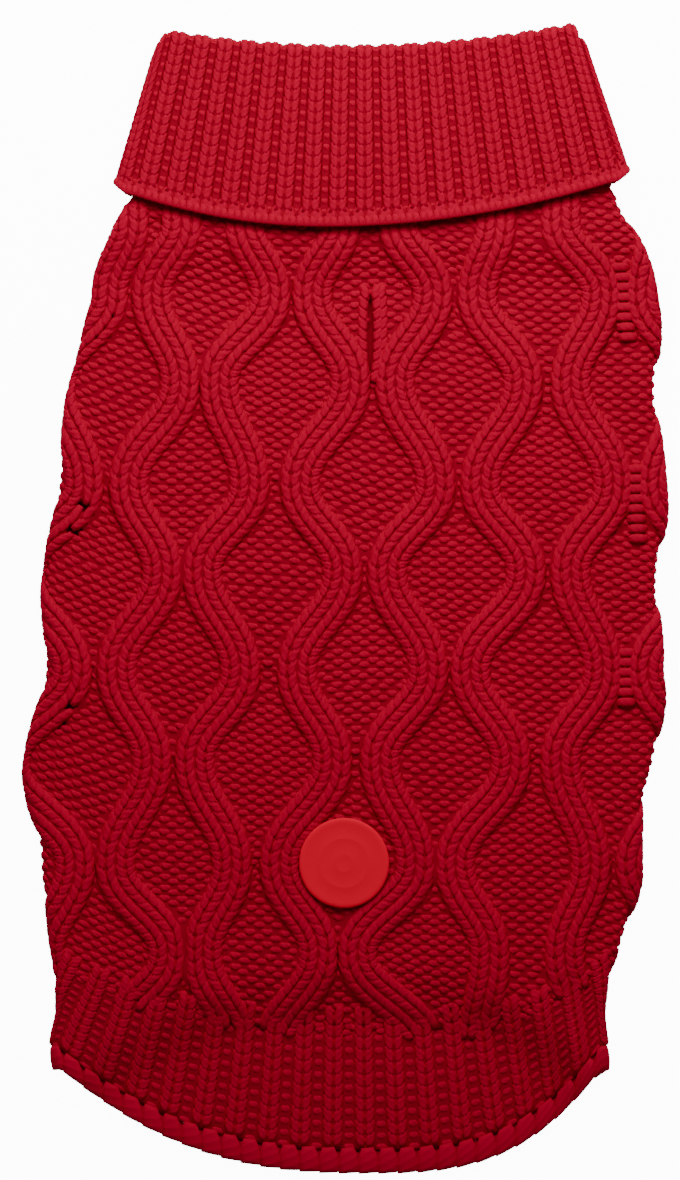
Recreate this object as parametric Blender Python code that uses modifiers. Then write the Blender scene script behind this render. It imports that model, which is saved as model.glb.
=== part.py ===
"""A dog's cable-knit sweater laid flat, back uppermost, with its roll collar turned down.

Metres, +Z up, +Y towards the collar. The sweater rests on Z = 0 and the origin is under its middle.
Sizes below are in millimetres. Every piece of cloth is a wall, made by Solidify on its middle surface.
The body and the collar are flattened tubes: two flat faces joined by a half round at each side.
"""

from math import cos, pi, sin

import bmesh
import bpy
import numpy as np
from mathutils import Vector

MM = 0.001

# Cloth
WALL = 2.8  # knitted cloth, ridges and ground together
AIR = 1.2  # between the back and the belly
SEAM = 0.3  # between two pieces that are sewn together
TUBE_MIDDLE = AIR / 2 + WALL / 2  # from the tube's middle plane to the middle of its cloth
TUBE_OUTER = AIR / 2 + WALL  # from the tube's middle plane to its outer face

# Roll collar, turned down over its own stand
ROLL_AIR = 0.4
ROLL_MIDDLE = TUBE_OUTER + ROLL_AIR + WALL / 2
ROLL_OUTER = ROLL_MIDDLE + WALL / 2
NECK_LIFT = ROLL_OUTER - TUBE_OUTER  # the body rises this far to pass over the lower turn-down
RISE_FROM_Y, RISE_TO_Y = 103.0, 124.0
SINK = AIR + WALL  # past the belly's shorter hem, the back comes down to rest
SINK_AFTER, SINK_OVER = 2.0, 24.0

# The body, a row for each section. A row's cloth runs across from side_y at its two sides and
# bows down in the middle by back_drop on top, and by belly_drop underneath. left and right are
# the outline.
BODY_COLUMNS = ("side_y", "left", "right", "back_drop", "belly_drop")
BODY_ROWS = (
    (139, -71.6, 90.2, 4.0, 4.0),
    (131, -72.6, 91.2, 4.0, 4.0),
    (122, -78.4, 96.5, 3.4, 3.2),
    (111, -83.2, 101.2, 2.0, 2.0),
    (98, -85.2, 104.2, 0.8, 1.0),
    (84, -87.8, 104.5, 0.0, 0.0),
    (69, -92.0, 103.2, 0.0, -0.5),
    (54, -94.0, 104.8, 0.0, -1.0),
    (31, -96.3, 106.9, 0.0, -3.0),
    (4, -100.8, 103.8, 0.0, -6.0),
    (-12, -100.0, 105.0, 0.0, -8.0),
    (-29, -100.7, 106.4, 0.0, -10.5),
    (-44, -104.6, 104.7, 0.0, -13.0),
    (-57, -106.9, 102.0, 1.0, -15.0),
    (-68, -105.4, 99.0, 2.5, -17.0),
    (-80, -102.2, 98.3, 5.5, -19.0),
    (-94, -101.2, 98.2, 10.0, -22.0),
    (-108, -98.6, 94.4, 16.0, -25.0),
    (-122, -97.6, 89.8, 22.0, -28.5),
    (-137, -96.7, 86.8, 29.3, -31.5),
    (-149.5, -98.7, 88.0, 34.3, -35.0),
    (-156, -97.6, 88.3, 34.6, -37.0),
)
UNDER_LAP = 38.0  # the back wraps round each side, and is sewn to the belly this far in underneath
NECK_Y, RIB_Y, EDGING_Y, HEM_Y = 139.0, -122.0, -149.5, -156.0
BOW_X = 6.3  # where every row hangs lowest
BOW_LEFT, BOW_RIGHT = 2.5, 3.1  # the bow's power each side: a higher one is squarer

# The collar's outline: its two ends at the fold and at the turned-down edge
FOLD_LEFT, FOLD_RIGHT = -64.8, 81.3
ROLL_LEFT, ROLL_RIGHT = -77.0, 94.6
FOLD_DIP_X, FOLD_DIP_Y = 1.2, 183.6
FOLD_LEFT_RISE, FOLD_RIGHT_RISE, FOLD_CORNER = 4.8, 7.1, 7.0
ROLL_LOW_X, ROLL_LOW_Y = -7.0, 123.7
ROLL_LEFT_RISE, ROLL_RIGHT_RISE, ROLL_CORNER = 10.5, 14.6, 4.0

# Leash slit, leg holes and patch
SLIT_X, SLIT_Y, SLIT_LENGTH, SLIT_WIDTH = 8.3, 88.5, 25.0, 1.9
LEG_CENTRES = {"leg_band_left": (-54.0, 62.0), "leg_band_right": (65.0, 62.0)}
LEG_HOLE = (19.0, 25.0)  # half width and half length of the free opening
LEG_BAND = 7.0
LABEL_CENTRE, LABEL_RADIUS, LABEL_WALL = (-0.4, -87.7), 15.0, 1.4

# Steps of the grids
BACK_STEPS, BODY_ROW_STEPS, RIB_ROW_STEPS = 20, 24, 4
UNDER_STEPS, EDGE_STEPS, BELLY_STEPS = 3, 6, 10
EDGING_ROW_STEPS, LEG_BAND_STEPS, LABEL_STEPS, LABEL_RINGS = 2, 32, 36, 3
BACK_AROUND = BACK_STEPS + 2 * (UNDER_STEPS + EDGE_STEPS)
ROLL_FACE_STEPS = 16
STAND_STEPS, FOLD_STEPS, TURN_STEPS = 4, 4, 6

YARN_RED = (0.45, 0.008, 0.022, 1.0)
DEEP_RED = (0.38, 0.006, 0.018, 1.0)
PATCH_RED = (0.60, 0.012, 0.030, 1.0)


def collection(name):
    made = bpy.data.collections.new(name)
    bpy.context.scene.collection.children.link(made)
    return made


def material(name, colour, roughness):
    made = bpy.data.materials.new(name)
    made.use_nodes = True
    shader = made.node_tree.nodes["Principled BSDF"]
    shader.inputs["Base Color"].default_value = colour
    shader.inputs["Roughness"].default_value = roughness
    shader.inputs["Metallic"].default_value = 0.0
    return made


def smooth_step(value):
    t = min(max(value, 0.0), 1.0)
    return t * t * (3 - 2 * t)


def body_row(side_y):
    """The body's columns at any height, on smooth curves through the rows."""
    table = np.array(BODY_ROWS[::-1], float)
    heights = table[:, 0]
    slopes = np.gradient(table, heights, axis=0)
    low = int(np.clip(np.searchsorted(heights, side_y) - 1, 0, len(heights) - 2))
    span = heights[low + 1] - heights[low]
    t = (side_y - heights[low]) / span
    values = (
        (2 * t**3 - 3 * t**2 + 1) * table[low]
        + (t**3 - 2 * t**2 + t) * span * slopes[low]
        + (3 * t**2 - 2 * t**3) * table[low + 1]
        + (t**3 - t**2) * span * slopes[low + 1]
    )
    row = dict(zip(BODY_COLUMNS, values))
    row["axis_z"] = TUBE_OUTER + NECK_LIFT * smooth_step((side_y - RISE_FROM_Y) / (RISE_TO_Y - RISE_FROM_Y))
    return row


def bow(row, x):
    """1 where the row hangs lowest, 0 at the two sides."""
    if x < BOW_X:
        share, power = (BOW_X - x) / (BOW_X - row["left"] - TUBE_OUTER), BOW_LEFT
    else:
        share, power = (x - BOW_X) / (row["right"] - TUBE_OUTER - BOW_X), BOW_RIGHT
    return 1 - min(share, 1.0) ** power


def body_point(row, x, z_turn):
    """A point of the body's cloth: z_turn is 1 on the back, -1 on the belly, between them at a side."""
    drop = row["back_drop"] if z_turn > 0 else row["belly_drop"]
    y = row["side_y"] - drop * bow(row, x)
    z = row["axis_z"] + TUBE_MIDDLE * z_turn
    return x, y, z - sink(x, y) if z_turn > 0 else z


def sink(x, y):
    """How far the back has come down at a place past the belly's hem."""
    hem = body_row(HEM_Y)
    belly_end_y = HEM_Y - hem["belly_drop"] * bow(hem, x)
    return SINK * smooth_step((belly_end_y - y - SINK_AFTER) / SINK_OVER)


def side_point(row, side, angle):
    """A point on the half round at one side; angle 0 is the outermost line."""
    centre = row[side] + (TUBE_OUTER if side == "left" else -TUBE_OUTER)
    out = TUBE_MIDDLE * cos(angle) * (-1 if side == "left" else 1)
    return centre + out, row["side_y"], row["axis_z"] + TUBE_MIDDLE * sin(angle)


def back_point(side_y, step):
    """The back, `step` steps on from the seam under the left side: round the side, across and round again."""
    row = body_row(side_y)
    inner_left, inner_right = row["left"] + TUBE_OUTER, row["right"] - TUBE_OUTER
    lap = UNDER_LAP - TUBE_OUTER - SEAM / 2
    if step < UNDER_STEPS:
        return body_point(row, inner_left + lap * (1 - step / UNDER_STEPS), -1)
    step -= UNDER_STEPS
    if step <= EDGE_STEPS:
        return side_point(row, "left", -pi / 2 + pi * step / EDGE_STEPS)
    step -= EDGE_STEPS
    if step < BACK_STEPS:
        return body_point(row, inner_left + (inner_right - inner_left) * step / BACK_STEPS, 1)
    step -= BACK_STEPS
    if step <= EDGE_STEPS:
        return side_point(row, "right", pi / 2 - pi * step / EDGE_STEPS)
    return body_point(row, inner_right - lap * (step - EDGE_STEPS) / UNDER_STEPS, -1)


def belly_point(side_y, step):
    """The belly between its two seams underneath, `step` steps on from the right one."""
    row = body_row(side_y)
    left = row["left"] + UNDER_LAP + SEAM / 2
    right = row["right"] - UNDER_LAP - SEAM / 2
    return body_point(row, right + (left - right) * step / BELLY_STEPS, -1)


def round_point(side_y, step):
    """The whole tube at one row: the back's points, then the belly's, and back to the start."""
    if step <= BACK_AROUND:
        return back_point(side_y, step)
    belly_step = step - BACK_AROUND - 1
    if belly_step <= BELLY_STEPS:
        return belly_point(side_y, belly_step)
    return back_point(side_y, 0)


def collar_loop(step):
    """How far a step is along a face, 0 left to 1 right, and its turn about the side, a quarter turn on a face."""
    if step <= ROLL_FACE_STEPS:
        return step / ROLL_FACE_STEPS, pi / 2
    step -= ROLL_FACE_STEPS
    if step < EDGE_STEPS:
        return 1.0, pi / 2 - pi * step / EDGE_STEPS
    step -= EDGE_STEPS
    if step <= ROLL_FACE_STEPS:
        return 1 - step / ROLL_FACE_STEPS, -pi / 2
    step -= ROLL_FACE_STEPS
    return 0.0, -pi / 2 + pi * step / EDGE_STEPS


def rising(x, low_x, left_end, right_end, left_rise, right_rise):
    """A shallow hollow's rise at x, from its lowest place to its two ends."""
    if x < low_x:
        return left_rise * min((low_x - x) / (low_x - left_end), 1.0) ** 2
    return right_rise * min((x - low_x) / (right_end - low_x), 1.0) ** 2


def collar_point(step, profile):
    """The roll collar's middle surface, `profile` steps up the stand, over the fold and down the turn-down."""
    share, turn = collar_loop(step)
    corner = cos(turn) ** 2
    seam = body_row(NECK_Y)
    ends = {
        "seam": (seam["left"] + TUBE_OUTER, seam["right"] - TUBE_OUTER),
        "fold": (FOLD_LEFT + ROLL_OUTER, FOLD_RIGHT - ROLL_OUTER),
        "roll": (ROLL_LEFT + ROLL_OUTER, ROLL_RIGHT - ROLL_OUTER),
    }
    fold_x = ends["fold"][0] + (ends["fold"][1] - ends["fold"][0]) * share
    fold_rise = rising(fold_x, FOLD_DIP_X, *ends["fold"], FOLD_LEFT_RISE, FOLD_RIGHT_RISE)
    fold_y = FOLD_DIP_Y + fold_rise - FOLD_CORNER * corner - (ROLL_OUTER - TUBE_MIDDLE) / 2
    spread = (ROLL_MIDDLE - TUBE_MIDDLE) / 2
    if profile <= STAND_STEPS:
        seam_x = ends["seam"][0] + (ends["seam"][1] - ends["seam"][0]) * share
        low_y = NECK_Y + SEAM - seam["back_drop"] * bow(seam, seam_x)
        up = profile / STAND_STEPS
        depth, y, low = TUBE_MIDDLE, low_y + (fold_y - low_y) * up, "seam"
    elif profile <= STAND_STEPS + FOLD_STEPS:
        over = pi * (profile - STAND_STEPS) / FOLD_STEPS
        up = 1.0
        depth, y, low = TUBE_MIDDLE + spread * (1 - cos(over)), fold_y + spread * sin(over), "seam"
    else:
        roll_x = ends["roll"][0] + (ends["roll"][1] - ends["roll"][0]) * share
        roll_rise = rising(roll_x, ROLL_LOW_X, *ends["roll"], ROLL_LEFT_RISE, ROLL_RIGHT_RISE)
        low_y = ROLL_LOW_Y + roll_rise + ROLL_CORNER * corner
        up = 1 - (profile - STAND_STEPS - FOLD_STEPS) / TURN_STEPS
        depth, y, low = ROLL_MIDDLE, low_y + (fold_y - low_y) * up, "roll"
    left, right = (ends[low][i] + (ends["fold"][i] - ends[low][i]) * up for i in (0, 1))
    x = left + (right - left) * share + depth * cos(turn) * (1 if share > 0.5 else -1)
    return x, y, ROLL_OUTER + depth * sin(turn)


def cloth(name, finish, steps, place, wall=WALL, joined=False):
    """A piece of cloth: a grid laid on its middle surface by place(u step, v step), with a wall each side."""
    bm = bmesh.new()
    bmesh.ops.create_grid(bm, x_segments=steps[0], y_segments=steps[1], size=0.5)
    for vert in bm.verts:
        u, v = (vert.co.x + 0.5) * steps[0], (vert.co.y + 0.5) * steps[1]
        vert.co = Vector(place(round(u), round(v))) * MM
    if joined:
        bmesh.ops.remove_doubles(bm, verts=bm.verts, dist=0.01 * MM)
    mesh = bpy.data.meshes.new(name)
    bm.to_mesh(mesh)
    bm.free()
    mesh.shade_smooth()
    mesh.materials.append(finish)
    piece = bpy.data.objects.new(name, mesh)
    sweater.objects.link(piece)
    solid = piece.modifiers.new("Wall", "SOLIDIFY")
    solid.thickness = wall * MM
    solid.offset = 0.0
    return piece


def rows_between(top, bottom, steps):
    """Side heights of a piece's rows, evenly spaced."""
    return [top + (bottom - top) * i / steps for i in range(steps + 1)]


def oval_cutter(name, centre, half_width, half_length, low, high):
    """A closed oval post that cuts a hole through the cloth."""
    bm = bmesh.new()
    bmesh.ops.create_cone(bm, cap_ends=True, segments=32, radius1=1, radius2=1, depth=1)
    for vert in bm.verts:
        x, y, z = vert.co
        place = Vector((centre[0] + half_width * x, centre[1] + half_length * y, low + (high - low) * (z + 0.5)))
        vert.co = place * MM
    mesh = bpy.data.meshes.new(name)
    bm.to_mesh(mesh)
    bm.free()
    cutter = bpy.data.objects.new(name, mesh)
    cutter.hide_render = True
    cutter.display_type = "WIRE"
    cutters.objects.link(cutter)
    return cutter


def cut(piece, cutter):
    hole = piece.modifiers.new(cutter.name, "BOOLEAN")
    hole.operation = "DIFFERENCE"
    hole.solver = "EXACT"
    hole.object = cutter


def make_body():
    rows = rows_between(NECK_Y, RIB_Y + SEAM / 2, BODY_ROW_STEPS)
    back = cloth(
        "back_panel",
        material("back_knit", YARN_RED, 0.85),
        (BACK_AROUND, BODY_ROW_STEPS),
        lambda u, v: back_point(rows[v], u),
    )
    belly = cloth(
        "belly_panel",
        material("belly_knit", YARN_RED, 0.85),
        (BELLY_STEPS, BODY_ROW_STEPS),
        lambda u, v: belly_point(rows[v], u),
    )
    slit_place = (SLIT_X, SLIT_Y)
    slit = oval_cutter(
        "leash_slit", slit_place, SLIT_WIDTH / 2, SLIT_LENGTH / 2, TUBE_OUTER, TUBE_OUTER * 3
    )
    cut(back, slit)
    half_width, half_length = (half + LEG_BAND + SEAM for half in LEG_HOLE)
    for name, centre in LEG_CENTRES.items():
        hole = oval_cutter(name + "_hole", centre, half_width, half_length, -WALL, WALL + AIR / 2)
        cut(back, hole)
        cut(belly, hole)


def make_hem():
    rows = rows_between(RIB_Y - SEAM / 2, EDGING_Y + SEAM / 2, RIB_ROW_STEPS)
    cloth(
        "hem_rib_back",
        material("back_rib", DEEP_RED, 0.85),
        (BACK_AROUND, RIB_ROW_STEPS),
        lambda u, v: back_point(rows[v], u),
    )
    cloth(
        "hem_rib_belly",
        material("belly_rib", DEEP_RED, 0.85),
        (BELLY_STEPS, RIB_ROW_STEPS),
        lambda u, v: belly_point(rows[v], u),
    )
    edging_rows = rows_between(EDGING_Y - SEAM / 2, HEM_Y, EDGING_ROW_STEPS)
    cloth(
        "hem_edging",
        material("edging_yarn", DEEP_RED, 0.85),
        (BACK_AROUND + BELLY_STEPS + 2, EDGING_ROW_STEPS),
        lambda u, v: round_point(edging_rows[v], u),
        joined=True,
    )


def make_collar():
    cloth(
        "roll_collar",
        material("collar_rib", YARN_RED, 0.85),
        (2 * (ROLL_FACE_STEPS + EDGE_STEPS), STAND_STEPS + FOLD_STEPS + TURN_STEPS),
        collar_point,
        joined=True,
    )


def make_leg_bands():
    for name, (centre_x, centre_y) in LEG_CENTRES.items():

        def band_point(u, v, centre_x=centre_x, centre_y=centre_y):
            angle = 2 * pi * u / LEG_BAND_STEPS
            out = LEG_BAND * v
            x = centre_x + (LEG_HOLE[0] + out) * cos(angle)
            y = centre_y + (LEG_HOLE[1] + out) * sin(angle)
            return x, y, WALL / 2

        finish = material(name + "_rib", YARN_RED, 0.85)
        cloth(name, finish, (LEG_BAND_STEPS, 1), band_point, joined=True)


def make_label():
    """The patch, made from the back's own points and moved out by a seam gap."""

    def label_point(u, v):
        angle, reach = 2 * pi * u / LABEL_STEPS, LABEL_RADIUS * v / LABEL_RINGS
        x = LABEL_CENTRE[0] + reach * cos(angle)
        y = LABEL_CENTRE[1] + reach * sin(angle)
        back_z = body_point(body_row(y), x, 1)[2] + WALL / 2
        return x, y, back_z + SEAM + LABEL_WALL / 2

    cloth(
        "round_label",
        material("patch_rubber", PATCH_RED, 0.5),
        (LABEL_STEPS, LABEL_RINGS),
        label_point,
        wall=LABEL_WALL,
        joined=True,
    )


for old in list(bpy.data.objects):
    bpy.data.objects.remove(old, do_unlink=True)
sweater = collection("dog_sweater")
cutters = collection("cutters")
make_body()
make_hem()
make_collar()
make_leg_bands()
make_label()
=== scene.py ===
"""The dog's cable-knit sweater, laid flat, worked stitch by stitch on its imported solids.

Sizes are in millimetres until a mesh is made. Every piece is a thin shell of cloth with its yarn laid on
it: the legs of the V stitches, the purl bumps of the ground and the linked loops of the edges.
"""

from math import pi

import bmesh
import bpy
import numpy as np
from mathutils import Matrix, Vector


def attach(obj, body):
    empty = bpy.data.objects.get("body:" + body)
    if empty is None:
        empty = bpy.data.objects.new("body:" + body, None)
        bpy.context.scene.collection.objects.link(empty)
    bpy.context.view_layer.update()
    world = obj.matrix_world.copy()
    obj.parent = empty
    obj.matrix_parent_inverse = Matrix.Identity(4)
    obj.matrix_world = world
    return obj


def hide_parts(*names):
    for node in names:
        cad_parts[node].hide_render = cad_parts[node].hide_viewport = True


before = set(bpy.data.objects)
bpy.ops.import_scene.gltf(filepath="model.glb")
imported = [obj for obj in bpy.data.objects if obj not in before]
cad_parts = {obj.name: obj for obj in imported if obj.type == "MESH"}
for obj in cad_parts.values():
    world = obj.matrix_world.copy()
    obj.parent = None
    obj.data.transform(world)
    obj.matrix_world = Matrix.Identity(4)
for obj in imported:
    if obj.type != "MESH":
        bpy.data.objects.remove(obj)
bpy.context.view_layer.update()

MM = 0.001
CHANCE = np.random.default_rng(11)

# ---------------------------------------------------------------- sizes shared with the solids

WALL, AIR, SEAM = 2.8, 1.2, 0.3
TUBE_OUTER = AIR / 2 + WALL
ROLL_OUTER = TUBE_OUTER + 0.4 + WALL
NECK_LIFT = ROLL_OUTER - TUBE_OUTER
RISE_FROM_Y, RISE_TO_Y = 103.0, 124.0
SINK, SINK_AFTER, SINK_OVER = AIR + WALL, 2.0, 24.0
BODY_COLUMNS = ("side_y", "left", "right", "back_drop", "belly_drop")
BODY_ROWS = (
    (139, -71.6, 90.2, 4.0, 4.0),
    (131, -72.6, 91.2, 4.0, 4.0),
    (122, -78.4, 96.5, 3.4, 3.2),
    (111, -83.2, 101.2, 2.0, 2.0),
    (98, -85.2, 104.2, 0.8, 1.0),
    (84, -87.8, 104.5, 0.0, 0.0),
    (69, -92.0, 103.2, 0.0, -0.5),
    (54, -94.0, 104.8, 0.0, -1.0),
    (31, -96.3, 106.9, 0.0, -3.0),
    (4, -100.8, 103.8, 0.0, -6.0),
    (-12, -100.0, 105.0, 0.0, -8.0),
    (-29, -100.7, 106.4, 0.0, -10.5),
    (-44, -104.6, 104.7, 0.0, -13.0),
    (-57, -106.9, 102.0, 1.0, -15.0),
    (-68, -105.4, 99.0, 2.5, -17.0),
    (-80, -102.2, 98.3, 5.5, -19.0),
    (-94, -101.2, 98.2, 10.0, -22.0),
    (-108, -98.6, 94.4, 16.0, -25.0),
    (-122, -97.6, 89.8, 22.0, -28.5),
    (-137, -96.7, 86.8, 29.3, -31.5),
    (-149.5, -98.7, 88.0, 34.3, -35.0),
    (-156, -97.6, 88.3, 34.6, -37.0),
)
UNDER_LAP = 38.0
NECK_Y, RIB_Y, EDGING_Y, HEM_Y = 139.0, -122.0, -149.5, -156.0
BOW_X, BOW_LEFT, BOW_RIGHT = 6.3, 2.5, 3.1
FOLD_LEFT, FOLD_RIGHT, ROLL_LEFT, ROLL_RIGHT = -64.8, 81.3, -77.0, 94.6
FOLD_DIP_X, FOLD_DIP_Y, FOLD_LEFT_RISE, FOLD_RIGHT_RISE, FOLD_CORNER = 1.2, 183.6, 4.8, 7.1, 7.0
ROLL_LOW_X, ROLL_LOW_Y, ROLL_LEFT_RISE, ROLL_RIGHT_RISE, ROLL_CORNER = -7.0, 123.7, 10.5, 14.6, 4.0
SLIT_X, SLIT_Y, SLIT_LENGTH, SLIT_WIDTH = 8.3, 88.5, 25.0, 1.9
LEG_CENTRES = {"leg_band_left": (-54.0, 62.0), "leg_band_right": (65.0, 62.0)}
LEG_HOLE, LEG_BAND = (19.0, 25.0), 7.0
LABEL_CENTRE, LABEL_RADIUS, LABEL_WALL = (-0.4, -87.7), 15.0, 1.4

# ---------------------------------------------------------------- the knitting's own sizes

WALE, COURSE = 5.8, 3.7  # one ground stitch
CABLE_HALF, CABLE_COURSE, CABLE_CROWN = 6.7, 3.95, 1.5
GROUND_RISE = -0.95  # the cloth under the bumps, measured from the solid's face
CLOTH = 1.9  # thickness of the cloth under the yarn
PRESSED = 0.75  # stitches that the sweater lies on are squeezed by this much
MID_HEIGHT = 3.0  # a place of the tube above this is on the back, not underneath
LABEL_PRESS = 0.1  # the patch keeps the stitches under it down to this rise
RIB_SPREAD = 0.20  # a rib's legs stand nearly upright
LEG_FOOT, LEG_RUN = -0.42, 1.56  # in courses: where a leg starts, and its length
VALLEY_TUCK = 0.3  # a purl bump is lower by this share of its valley's width
LONG_LEG = 1.14  # the legs of cables and ribs are this much longer, for smoother wales
RIDGE_RISE = -0.45  # ribbed cloth under a wale, measured from the solid's face
RIDGE_FLAT = 1.15  # over 1, its ridge has a flat top
COLLAR_VALLEY, HEM_VALLEY = -1.75, -1.05  # and between two wales
RIB_CLOTH = 1.1  # thickness of ribbed cloth under the yarn
GROOVE, GROOVE_REACH = 2.0, 3.4  # the dark groove below the collar's edge: its depth and its width
GROOVE_STEEPNESS = 1.6  # its slope takes up its width divided by this
EDGE_RISE = -0.75  # the middle of an edge's loops
FLOOR_RISE = 0.02  # the lowest yarn is pressed flat at this height

TOUCHING_GAP = 20.0  # two cables nearer than this, middle to middle, touch
CABLE_SINKING = 9.0  # how far above the rib a cable begins to sink
CABLE_AT_RIB = 0.3  # the share of its height that is left there
GROUND_SAG = 0.75  # the ground is drawn down this far below a touching place
CABLE_Y = (160, 125, 101, 72, 38, 9, -24, -54, -88.5, -118, -150)
CABLES = {
    "left_edge": (-72, -72, -79, -97, -87, -108, -91, -112, -90, -100, -92),
    "first": (-54.4, -54.4, -64.4, -55, -72, -61, -76, -64.4, -76.4, -59, -80),
    "second": (-33.4, -33.4, -25, -42, -32, -47.5, -35, -50, -37.8, -47.4, -36),
    "third": (-1.75, -1.75, -11, 1.6, -15, -1, -16, -4.4, -21.8, -9, -24),
    "fourth": (17.6, 17.6, 29, 16.6, 30, 14, 27.5, 11.6, 23.3, 4, 27),
    "fifth": (49.9, 49.9, 44, 59, 45, 60, 41.6, 55, 36.6, 48, 44),
    "sixth": (71.6, 71.6, 85, 75, 89, 75, 85.6, 71.6, 81.6, 73, 82),
    "right_edge": (104, 104, 100, 116, 104, 120, 100.6, 117, 96.6, 112, 98),
}

# ---------------------------------------------------------------- colours

YARN_RED = (0.37, 0.0008, 0.022, 1.0)
YARN_LIT = (0.45, 0.0012, 0.028, 1.0)
# Painted shade: the cloth between the stitches is coloured this darker red, for the shade in the gaps.
SHADOW_RED = (0.24, 0.0008, 0.013, 1.0)
PATCH_RED = (0.69, 0.0, 0.024, 1.0)
PATCH_LIT = (0.73, 0.0, 0.026, 1.0)


def smooth_step(value):
    """Eases from 0 at nought to 1 at one."""
    t = np.clip(value, 0.0, 1.0)
    return t * t * (3 - 2 * t)


# ---------------------------------------------------------------- where the cloth lies


def body_row(side_y):
    """The body's columns at any height, on smooth curves through the rows."""
    table = np.array(BODY_ROWS[::-1], float)
    heights = table[:, 0]
    slopes = np.gradient(table, heights, axis=0)
    side_y = np.clip(np.asarray(side_y, float), heights[0], heights[-1])
    low = np.clip(np.searchsorted(heights, side_y) - 1, 0, len(heights) - 2)
    span = (heights[low + 1] - heights[low])[..., None]
    t = (side_y - heights[low])[..., None] / span
    values = (
        (2 * t**3 - 3 * t**2 + 1) * table[low]
        + (t**3 - 2 * t**2 + t) * span * slopes[low]
        + (3 * t**2 - 2 * t**3) * table[low + 1]
        + (t**3 - t**2) * span * slopes[low + 1]
    )
    row = {name: values[..., i] for i, name in enumerate(BODY_COLUMNS)}
    climbed = smooth_step((side_y - RISE_FROM_Y) / (RISE_TO_Y - RISE_FROM_Y))
    row["axis_z"] = TUBE_OUTER + NECK_LIFT * climbed
    return row


def bow(row, x):
    """1 where the row hangs lowest, 0 at the two sides."""
    left = (BOW_X - x) / (BOW_X - row["left"] - TUBE_OUTER)
    right = (x - BOW_X) / (row["right"] - TUBE_OUTER - BOW_X)
    share = np.clip(np.where(x < BOW_X, left, right), 0, 1)
    return 1 - share ** np.where(x < BOW_X, BOW_LEFT, BOW_RIGHT)


def row_through(across, y):
    """The side height of the back's row that passes through a place on top."""
    side_y = np.asarray(y, float)
    for _ in range(9):
        row = body_row(side_y)
        side_y = y + row["back_drop"] * bow(row, across)
    return side_y


def sink(x, y):
    """How far the back has come down at a place past the belly's hem."""
    hem = body_row(np.full(np.shape(x), HEM_Y))
    belly_end_y = HEM_Y - hem["belly_drop"] * bow(hem, x)
    return SINK * smooth_step((belly_end_y - y - SINK_AFTER) / SINK_OVER)


def under_label(x, y):
    """1 under the patch, easing to 0 round it."""
    reach = np.hypot(x - LABEL_CENTRE[0], y - LABEL_CENTRE[1])
    return 1 - smooth_step((reach - LABEL_RADIUS + 0.8) / 2.5)


def under_collar(x, y):
    """1 just below the collar's edge and up under it, easing to 0 down the back."""
    ends = (ROLL_LEFT + ROLL_OUTER, ROLL_RIGHT - ROLL_OUTER)
    edge_y = ROLL_LOW_Y + rising(x, ROLL_LOW_X, *ends, ROLL_LEFT_RISE, ROLL_RIGHT_RISE)
    return smooth_step((y - edge_y + GROOVE_REACH) / GROOVE_REACH * GROOVE_STEEPNESS)


def on_row(side_y, across, rise):
    """A place on the body's tube. across runs as x does on top, and on round both sides as a tape
    would."""
    side_y, across, rise = np.broadcast_arrays(side_y, across, rise)
    row = body_row(side_y)
    top_y = side_y - row["back_drop"] * bow(row, across)
    rise = rise - under_label(across, top_y) * np.clip(rise - LABEL_PRESS, 0, None)
    rise = rise - GROOVE * under_collar(across, top_y)
    flat_x = np.clip(across, row["left"] + TUBE_OUTER, row["right"] - TUBE_OUTER)
    past = across - flat_x
    turn = np.clip(past / TUBE_OUTER, -pi, pi)
    down = smooth_step(-np.cos(turn))
    out = TUBE_OUTER + rise - PRESSED * down
    x = flat_x + out * np.sin(turn) - (past - turn * TUBE_OUTER)
    on_top = np.abs(turn) < pi / 2
    y = side_y - np.where(on_top, row["back_drop"], row["belly_drop"]) * bow(row, x)
    z = row["axis_z"] + out * np.cos(turn) - np.where(on_top, sink(x, y), 0)
    return np.stack([x, y, np.maximum(z, FLOOR_RISE)], axis=-1)


def on_back(across, y, rise):
    """The same, for a place given by its own y on top."""
    return on_row(row_through(across, y), across, rise)


def rising(x, low_x, left_end, right_end, left_rise, right_rise):
    """A shallow hollow's rise at x, from its lowest place to its two ends."""
    left = left_rise * np.clip((low_x - x) / (low_x - left_end), 0, 1) ** 2
    right = right_rise * np.clip((x - low_x) / (right_end - low_x), 0, 1) ** 2
    return np.where(x < low_x, left, right)


COLLAR_FACE_RIBS = 17.3  # ribs across one face
COLLAR_END_RIBS = 2.7  # ribs round one end
COLLAR_RIBS = 40
COLLAR_ROWS = 16.0  # rows down the turned-down face
FOLD_ROWS = 2.6  # rows over the fold
STAND_ROWS = 12.4  # rows down inside, to the neck seam
FOLD_MIDDLE = (ROLL_OUTER + AIR / 2) / 2
FOLD_RADIUS = ROLL_OUTER - FOLD_MIDDLE


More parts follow.
